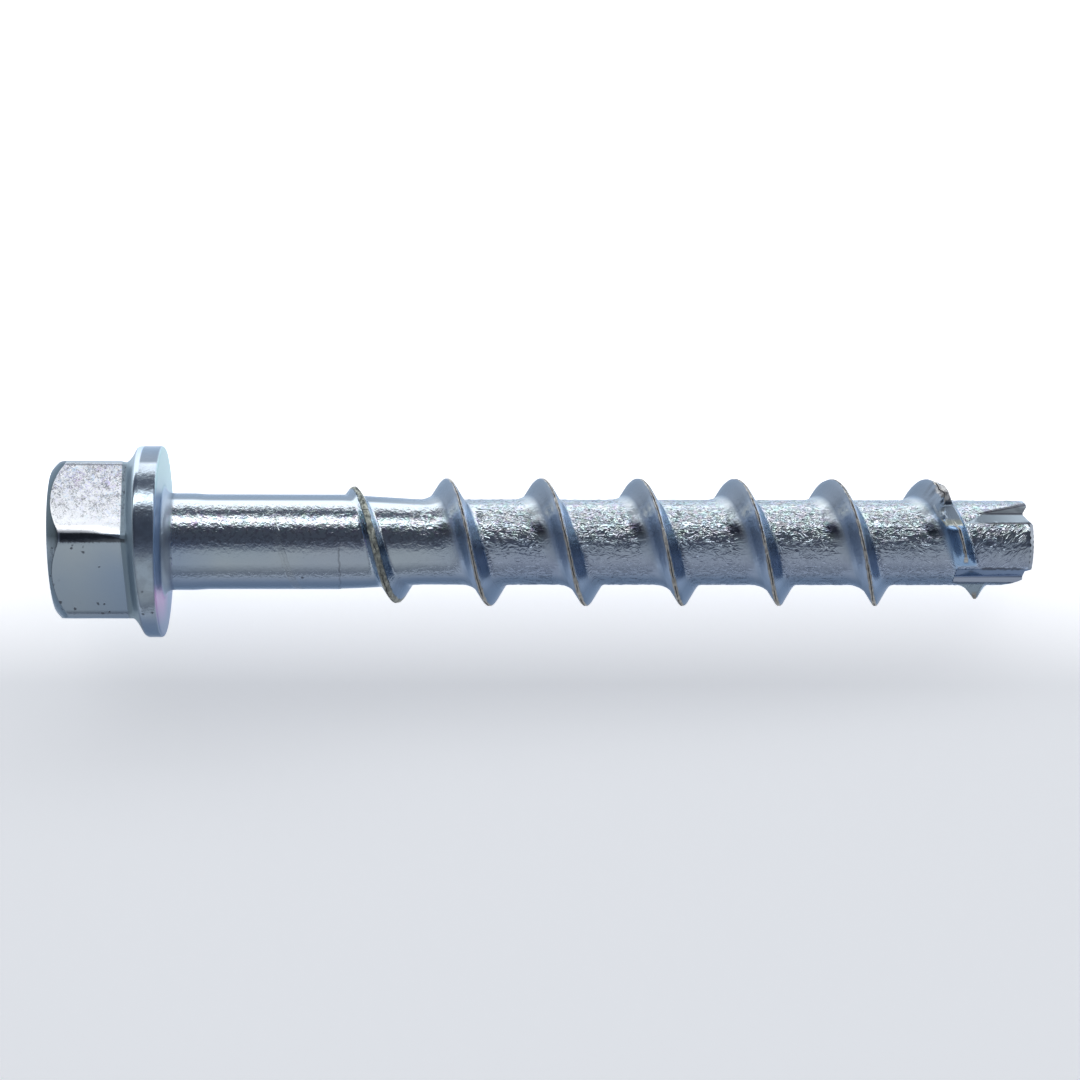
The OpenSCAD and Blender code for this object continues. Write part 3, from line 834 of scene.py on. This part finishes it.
    # Painted shade: a dark jagged line along the lower flute's edge
    flute_edge = band(along, 66.3, 70.2, 0.3) * front \
        * (1 - ramp(abs(up + 2.13 + (rough_crest - 0.5) * 0.3), 0.06, 0.14))
    dark = fold
    for mark, weight in ((pits, 0.75), (squiggle, 0.5), (ring, 0.35), (hair * top_flat, 0.62),
                         (edges, 0.8), (flute_edge, 0.85)):
        dark = dark.math("MAXIMUM", mark * weight)
    tint = blend(tree, dark, tint, (0.06, 0.06, 0.075, 1))
    plug(tree, shader.inputs["Base Color"], tint)
    plug(tree, shader.inputs["Metallic"],
         1 - 0.5 * land.math("MAXIMUM", torn) - 0.5 * back - 0.6 * bearing
         - (flat_last.math("MAXIMUM", painted_flank_highlight)) * 0.6 * (1 - land))
    roughness = 0.1 + head * 0.05 + hammered * 0.08 + land * 0.3 + drift * 0.05 + dark * 0.2 \
        + cut * 0.22 + flank * 0.15 + smooth_foot * in_thread * 0.16 + root * 0.3 + top_flat * 0.12 + (back + bearing + torn) * 0.25 + chamfer * 0.2 + rim * 0.06
    plug(tree, shader.inputs["Roughness"], roughness)
    return material


screw = build_screw(zinc())
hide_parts("concrete_screw")
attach(screw, "root")

# ---------------------------------------------------------------- floor, light and camera
FLOOR_Z = CAD_BOX[0][2]
floor_mesh = bpy.data.meshes.new("pale_floor")
size = 1.2
floor_mesh.from_pydata([(-size, -size, FLOOR_Z), (size, -size, FLOOR_Z), (size, size, FLOOR_Z),
                        (-size, size, FLOOR_Z)], [], [(0, 1, 2, 3)])
floor = bpy.data.objects.new("pale_floor", floor_mesh)
bpy.context.scene.collection.objects.link(floor)
floor_material = bpy.data.materials.new("pale_floor")
floor_material.use_nodes = True
table = floor_material.node_tree
top = table.nodes["Principled BSDF"]
top.inputs["Base Color"].default_value = (0.86, 0.86, 0.86, 1)
top.inputs["Roughness"].default_value = 0.7
top.inputs["Emission Strength"].default_value = 1.0
# Painted light: the floor glows, more strongly behind the screw than in front of it
place = make(table, "ShaderNodeTexCoord", out=3)
depth = Sock(table, make(table, "ShaderNodeSeparateXYZ", (), {0: place}).socket.node.outputs[1])
glow = ramp(depth, -0.012, 0.014)
plug(table, top.inputs["Emission Color"],
     blend(table, glow, (0.42, 0.43, 0.445, 1), (1.45, 1.45, 1.47, 1)))
floor_mesh.materials.append(floor_material)


def softbox(name, place, aim, wide, high, power):
    light = bpy.data.lights.new(name, "AREA")
    light.shape, light.size, light.size_y, light.energy = "RECTANGLE", wide, high, power
    lamp = bpy.data.objects.new(name, light)
    lamp.location = place
    lamp.rotation_euler = (Vector(aim) - Vector(place)).to_track_quat("-Z", "Y").to_euler()
    bpy.context.scene.collection.objects.link(lamp)
    return lamp


# Angles up from the horizon, on the far side of the picture's upper edge
MIDDLE = Vector((0.031, 0, 0))


def ring_box(name, elevation, half_angle, reach, wide, radiance):
    """A long softbox behind the upper edge of the picture, seen from the screw at an angle."""
    e = math.radians(elevation)
    place = MIDDLE + reach * Vector((0, math.cos(e), math.sin(e)))
    high = 2 * reach * math.tan(math.radians(half_angle))
    return softbox(name, place, MIDDLE, wide, high, radiance * math.pi * wide * high)


ring_box("key_box", 37.5, 6.0, 0.45, 0.8, 1.7)

world = bpy.data.worlds.new("studio")
world.use_nodes = True
sky = world.node_tree
aim = make(sky, "ShaderNodeTexCoord", out=0)
east, north, height = (Sock(sky, s) for s in
                       make(sky, "ShaderNodeSeparateXYZ", (), {0: aim}).socket.node.outputs)
# The room's brightness by the angle from the zenith, positive behind the key: a grey-blue
# front, a dark ceiling, and a dim wall below the key
ROOM = [(-180, 0.3), (-95, 0.34), (-79, 0.36), (-70, 0.45), (-62, 0.5), (-30, 0.5), (-23, 0.45),
        (-15, 0.26), (-8, 0.13), (-1, 0.1), (8, 0.085), (31, 0.085), (39.5, 0.11), (42.5, 0.35),
        (46.5, 1.0), (53, 1.4), (60, 1.1), (62.5, 0.85), (65, 0.22), (73, 0.12), (80, 0.14),
        (88, 0.45), (95, 0.6), (180, 0.3)]
tilt_angle = north.math("ARCTAN2", height) * (180 / math.pi)
level = curve(sky, tilt_angle, ROOM) * (1 - 0.5 * east * east)
plug(sky, sky.nodes["Background"].inputs["Color"],
     blend(sky, ramp(level, 0.12, 0.4), (0.87, 0.98, 1.32, 1), (0.95, 1.0, 1.07, 1)))
plug(sky, sky.nodes["Background"].inputs["Strength"], level)
bpy.context.scene.world = world
bpy.context.scene.view_settings.view_transform = "Standard"

camera_data = bpy.data.cameras.new("camera")
camera_data.sensor_width = 36
camera_data.lens = 85
camera_data.clip_start = 0.01
camera = bpy.data.objects.new("camera", camera_data)
camera.location = (0.03056, 0.00017, 0.2077)
camera.rotation_euler = (0, 0, math.radians(0.09))
bpy.context.scene.collection.objects.link(camera)
bpy.context.scene.camera = camera
